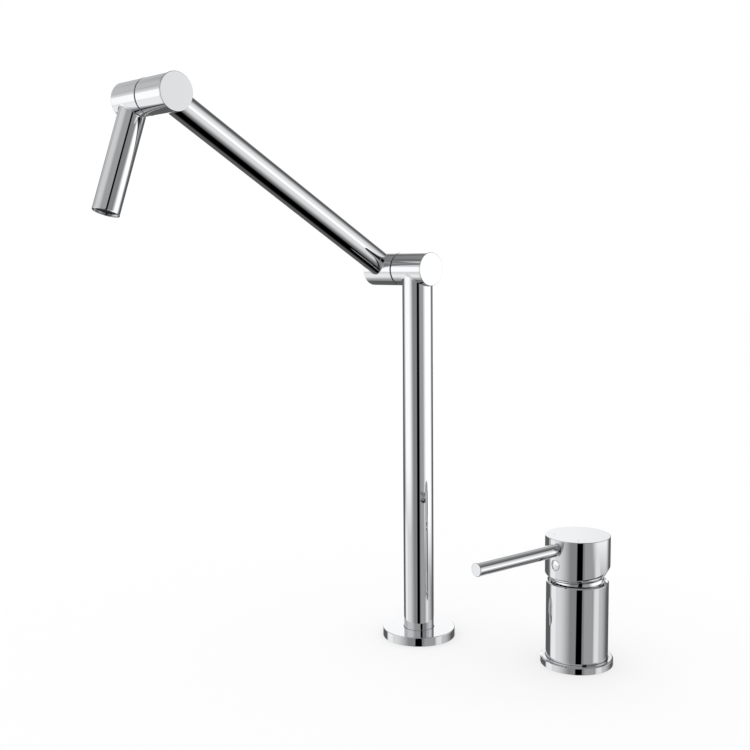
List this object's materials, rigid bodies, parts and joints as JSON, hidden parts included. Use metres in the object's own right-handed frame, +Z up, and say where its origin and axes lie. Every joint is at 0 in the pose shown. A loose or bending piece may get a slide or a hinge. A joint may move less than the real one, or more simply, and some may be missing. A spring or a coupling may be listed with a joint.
{
  "type": "deck-mount pot filler",
  "caption": "Swivelling column with a folding arm and a drooping spout, on its own flange, beside a separate single-lever mixer on the same deck.",
  "frame": {"origin": "centre of the column's footprint on the top of the deck", "axes": "+Z up along the column; +X along both elbow hinges towards their closed caps and towards the mixer; the arm points to -Y, the user's side"},
  "size_m": [0.2438, 0.3184, 0.5141],
  "materials": {
    "chrome": "polished chrome plate on brass",
    "brass": "machined, unplated",
    "steel": "plain stainless steel",
    "rubber": "moulded, matt black",
    "acetal": "moulded acetal, off-white",
    "black_acetal": "moulded acetal, black",
    "ceramic": "lapped white alumina",
    "mark_enamel": null
  },
  "bodies": {
    "deck_unit": {"deck_flange": "chrome", "flange_gasket": "rubber", "base_shank": "brass", "base_o_rings": "rubber", "thrust_washer": "acetal", "shank_rubber_washer": "rubber", "shank_steel_washer": "steel", "shank_lock_nut": "brass", "mixer_base_ring": "chrome", "mixer_gasket": "rubber", "mixer_body": "chrome", "hose_port_block": "brass", "cartridge_seat": "brass", "mixer_shank": "brass", "mixer_rubber_washer": "rubber", "mixer_steel_washer": "steel", "mixer_lock_nut": "brass", "cartridge_base": "acetal", "port_seals": "rubber", "fixed_disc": "ceramic", "cartridge_housing": "acetal", "cartridge_nut": "brass", "cartridge_dome": "chrome"},
    "column": {"column_tube": "chrome", "column_bush": "acetal", "column_keeper_screw": "steel", "lower_elbow_housing": "chrome", "lower_elbow_cap": "chrome", "lower_elbow_cap_seal": "rubber"},
    "arm": {"arm_lower_barrel": "chrome", "lower_elbow_spindle": "brass", "lower_elbow_o_rings": "rubber", "lower_elbow_wear_washer": "black_acetal", "lower_elbow_circlip": "steel", "arm_tube": "chrome", "arm_upper_housing": "chrome", "upper_elbow_cap": "chrome", "upper_elbow_cap_seal": "rubber"},
    "spout": {"spout_barrel": "chrome", "upper_elbow_spindle": "brass", "upper_elbow_o_rings": "rubber", "upper_elbow_wear_washer": "black_acetal", "upper_elbow_circlip": "steel", "spout_tube": "chrome", "aerator_shell": "chrome", "aerator_gasket": "rubber", "aerator_core": "black_acetal", "aerator_screen": "steel"},
    "turret": {"cartridge_turret": "acetal", "lever_pin": "steel"},
    "disc_slider": {"disc_carrier": "acetal", "moving_disc": "ceramic"},
    "handle": {"lever_spindle": "brass", "handle_cap": "chrome", "lever_bar": "chrome", "handle_grub_screw": "steel", "screw_cover": "chrome", "temperature_marks": "mark_enamel"}
  },
  "joints": [
    {"name": "column_swivel", "type": "hinge", "parent": "deck_unit", "child": "column", "pos_m": [0, 0, 0.0056], "axis": [0, 0, 1], "continuous": true},
    {"name": "elbow_hinge", "type": "hinge", "parent": "column", "child": "arm", "pos_m": [-0.017, 0, 0.3066], "axis": [-1, 0, 0], "range_deg": [-120, 60]},
    {"name": "spout_hinge", "type": "hinge", "parent": "arm", "child": "spout", "pos_m": [-0.0529, -0.21304, 0.4296], "axis": [-1, 0, 0], "range_deg": [-80, 100]},
    {"name": "handle_turn", "type": "hinge", "parent": "deck_unit", "child": "turret", "pos_m": [0.1313, 0.0402, 0.065], "axis": [0, 0, 1], "range_deg": [-48, 48]},
    {"name": "handle_lift", "type": "hinge", "parent": "turret", "child": "handle", "pos_m": [0.1313, 0.0402, 0.065], "axis": [-0.9925, 0.1219, 0], "range_deg": [0, 15]},
    {"name": "disc_slide", "type": "slide", "parent": "turret", "child": "disc_slider", "axis": [-0.1219, -0.9925, 0], "range_m": [0, 0.0036]}
  ],
  "couplings": [
    {"joint": "disc_slide", "follows": "handle_lift", "m_per_rad": 0.0135}
  ]
}
